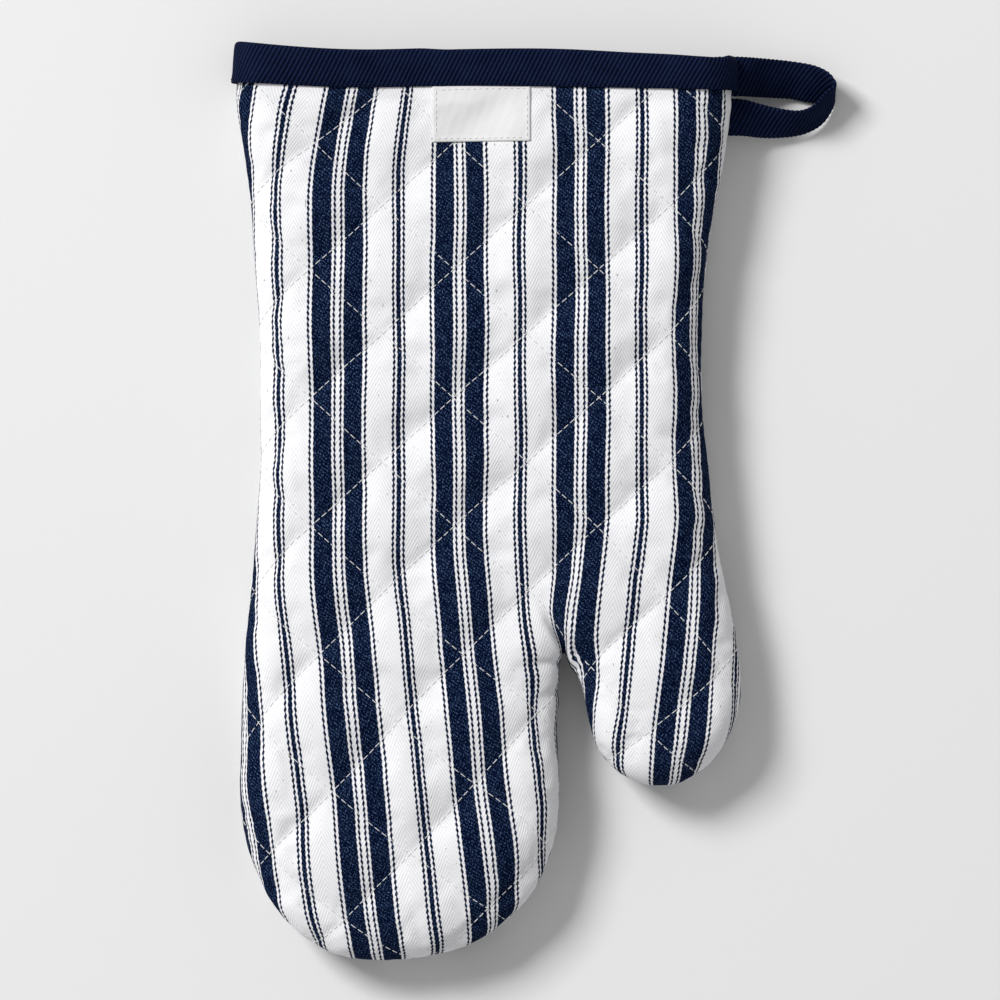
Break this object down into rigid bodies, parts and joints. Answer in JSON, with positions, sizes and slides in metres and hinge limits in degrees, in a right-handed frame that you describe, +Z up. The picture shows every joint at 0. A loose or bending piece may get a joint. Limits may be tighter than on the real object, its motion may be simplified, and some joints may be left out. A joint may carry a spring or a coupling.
{
  "type": "oven mitt",
  "caption": "Quilted oven mitt in navy and white striped cotton, with a thumb, a bound cuff, a blank label and a tape loop to hang it by.",
  "frame": {"origin": "centre of the mitt's footprint, on the table it lies on, palm down", "axes": "+X towards the thumb's side and the hanging loop, +Y from the fingertips to the cuff, +Z up out of the back of the mitt"},
  "size_m": [0.213, 0.3258, 0.0305],
  "materials": {
    "striped_ticking": "cotton herringbone twill, white with woven navy stripes, matt",
    "cotton_batting": "soft matt cotton wadding",
    "white_lining": "plain matt white cotton",
    "white_thread": "spun cotton thread, matt",
    "navy_twill_tape": "ribbed navy twill tape with a slight sheen",
    "navy_thread": "spun navy thread, matt",
    "label_cotton": "plain woven white cotton tape, matt"
  },
  "bodies": {
    "mitt": {"back_shell": "striped_ticking", "palm_shell": "striped_ticking", "back_batting": "cotton_batting", "palm_batting": "cotton_batting", "back_lining": "white_lining", "palm_lining": "white_lining", "back_quilting_thread": "white_thread", "palm_quilting_thread": "white_thread", "side_seam_thread": "white_thread", "cuff_binding": "navy_twill_tape", "binding_thread": "navy_thread", "label": "label_cotton", "label_thread": "white_thread"},
    "loop": {"hang_loop": "navy_twill_tape"}
  },
  "joints": [
    {"name": "hang_loop_swing", "type": "hinge", "parent": "mitt", "child": "loop", "pos_m": [0.07365, 0.14404, 0.0134], "axis": [0, -1, 0], "range_deg": [-70, 85]}
  ]
}
